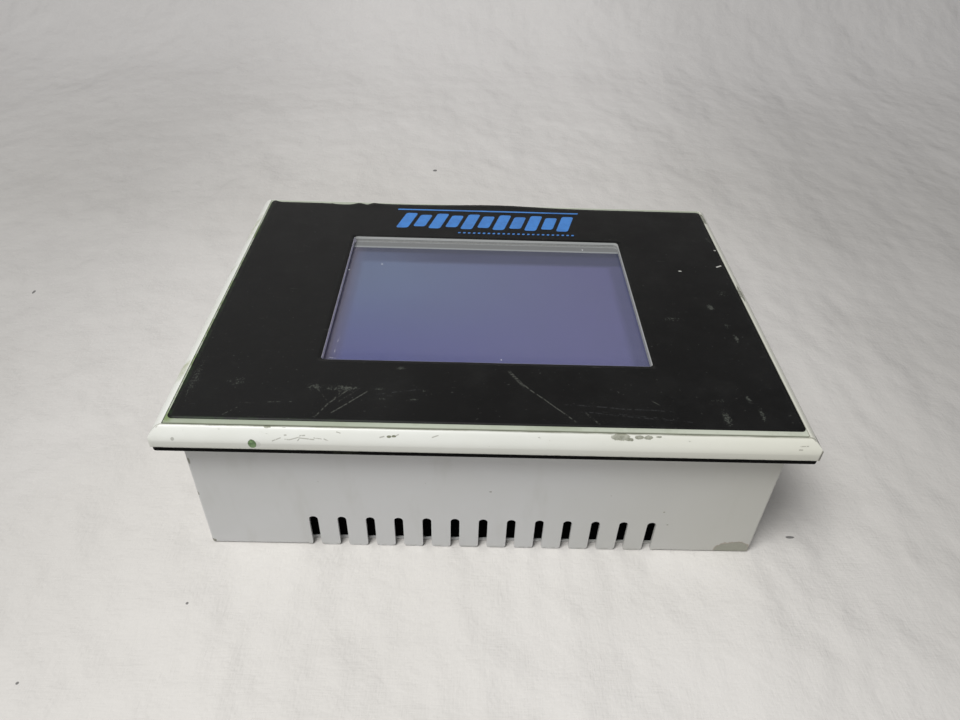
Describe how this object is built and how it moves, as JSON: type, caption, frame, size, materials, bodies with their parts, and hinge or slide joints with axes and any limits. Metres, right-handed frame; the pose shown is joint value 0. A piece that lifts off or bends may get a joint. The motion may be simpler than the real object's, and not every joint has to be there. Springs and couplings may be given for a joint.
{
  "type": "panel-mount operator terminal",
  "caption": "Panel-mount touch-screen operator terminal: rounded bezel, black-printed front, recessed display, gasket, vented sheet-metal housing and a recessed rear connector bay.",
  "frame": {"origin": "centre of the housing's rear face, which is also the bottom of the bounding box", "axes": "+Z out through the screen, +Y towards the screen's top edge, +X to the right of someone facing the screen"},
  "size_m": [0.2126, 0.158, 0.0647],
  "materials": {
    "painted_bezel": "satin",
    "front_plate": "satin",
    "printed_label": "matte",
    "black_foam": "matte",
    "clear_film": "gloss",
    "touch_glass": "gloss",
    "display_face": "gloss",
    "white_plastic": "matte",
    "lamp_tube": "gloss",
    "tinned_steel": "satin",
    "zinc_steel": "satin",
    "case_steel": "satin",
    "screw_steel": "satin",
    "label_foil": "satin",
    "clear_sheet": "matte",
    "board_green": "satin",
    "chip_black": "matte",
    "heat_sink_black": "matte",
    "connector_black": "matte",
    "connector_green": "satin",
    "switch_blue": "satin",
    "slider_white": "satin",
    "brass_nickel": "satin",
    "capacitor_sleeve": "gloss",
    "cable_white": "matte",
    "ribbon_film": "satin",
    "cell_steel": "gloss"
  },
  "bodies": {
    "case": {"bezel_frame": "painted_bezel", "front_plate": "front_plate", "front_label": "printed_label", "touch_foam": "black_foam", "touch_film": "clear_film", "touch_glass": "touch_glass", "display_foam": "black_foam", "panel_gasket": "black_foam", "lcd_can": "tinned_steel", "lcd_glass": "display_face", "diffuser_sheet": "white_plastic", "light_guide": "white_plastic", "backlight_lamp": "lamp_tube", "lcd_tray": "white_plastic", "lcd_driver_board": "board_green", "display_chassis": "zinc_steel", "chassis_spacers": "screw_steel", "chassis_screws": "screw_steel", "housing": "case_steel", "corner_pillars": "zinc_steel", "rear_screws": "screw_steel", "dust_filters": "black_foam", "insulating_sheet": "clear_sheet", "rating_label": "label_foil", "connector_bay": "zinc_steel", "bay_rivets": "screw_steel", "serial_port_shell": "tinned_steel", "serial_port_contacts": "connector_black", "wide_port_shell": "tinned_steel", "wide_port_contacts": "connector_black", "port_jackscrews": "screw_steel", "earth_stud": "brass_nickel", "power_header": "connector_green", "dip_switch_body": "switch_blue", "reset_switch_body": "chip_black", "trimmer_body": "switch_blue", "main_board": "board_green", "board_standoffs": "brass_nickel", "processor_chips": "chip_black", "heat_sink": "heat_sink_black", "capacitors": "capacitor_sleeve", "supply_module": "chip_black", "battery_holder": "connector_black", "coin_cell": "cell_steel", "ribbon_sockets": "connector_black", "display_ribbon": "ribbon_film", "touch_tail": "ribbon_film", "inverter_board": "board_green", "inverter_parts": "chip_black", "lamp_cable": "cable_white"},
    "supply_plug": {"power_plug": "connector_green"},
    "plug_screw_1_body": {"plug_screw_1": "screw_steel"},
    "plug_screw_2_body": {"plug_screw_2": "screw_steel"},
    "plug_screw_3_body": {"plug_screw_3": "screw_steel"},
    "dip_slider_1_body": {"dip_slider_1": "slider_white"},
    "dip_slider_2_body": {"dip_slider_2": "slider_white"},
    "dip_slider_3_body": {"dip_slider_3": "slider_white"},
    "dip_slider_4_body": {"dip_slider_4": "slider_white"},
    "reset_button_body": {"reset_button": "slider_white"},
    "trimmer_rotor_body": {"trimmer_rotor": "slider_white"}
  },
  "joints": [
    {"name": "plug_pull", "type": "slide", "parent": "case", "child": "supply_plug", "axis": [0, 0, -1], "range_m": [0, 0.01]},
    {"name": "plug_screw_1_turn", "type": "hinge", "parent": "supply_plug", "child": "plug_screw_1_body", "pos_m": [-0.06981, 0.0384, 0.0054], "axis": [0, -1, 0], "continuous": true},
    {"name": "plug_screw_2_turn", "type": "hinge", "parent": "supply_plug", "child": "plug_screw_2_body", "pos_m": [-0.066, 0.0384, 0.0054], "axis": [0, -1, 0], "continuous": true},
    {"name": "plug_screw_3_turn", "type": "hinge", "parent": "supply_plug", "child": "plug_screw_3_body", "pos_m": [-0.06219, 0.0384, 0.0054], "axis": [0, -1, 0], "continuous": true},
    {"name": "dip_1_slide", "type": "slide", "parent": "case", "child": "dip_slider_1_body", "axis": [0, 1, 0], "range_m": [0, 0.0018]},
    {"name": "dip_2_slide", "type": "slide", "parent": "case", "child": "dip_slider_2_body", "axis": [0, 1, 0], "range_m": [0, 0.0018]},
    {"name": "dip_3_slide", "type": "slide", "parent": "case", "child": "dip_slider_3_body", "axis": [0, 1, 0], "range_m": [0, 0.0018]},
    {"name": "dip_4_slide", "type": "slide", "parent": "case", "child": "dip_slider_4_body", "axis": [0, 1, 0], "range_m": [0, 0.0018]},
    {"name": "reset_press", "type": "slide", "parent": "case", "child": "reset_button_body", "axis": [0, 0, 1], "range_m": [0, 0.0005], "stiffness_N_per_m": 5},
    {"name": "contrast_turn", "type": "hinge", "parent": "case", "child": "trimmer_rotor_body", "pos_m": [-0.013, 0.042, 0.0156], "axis": [0, 0, -1], "range_deg": [-135, 135]}
  ]
}
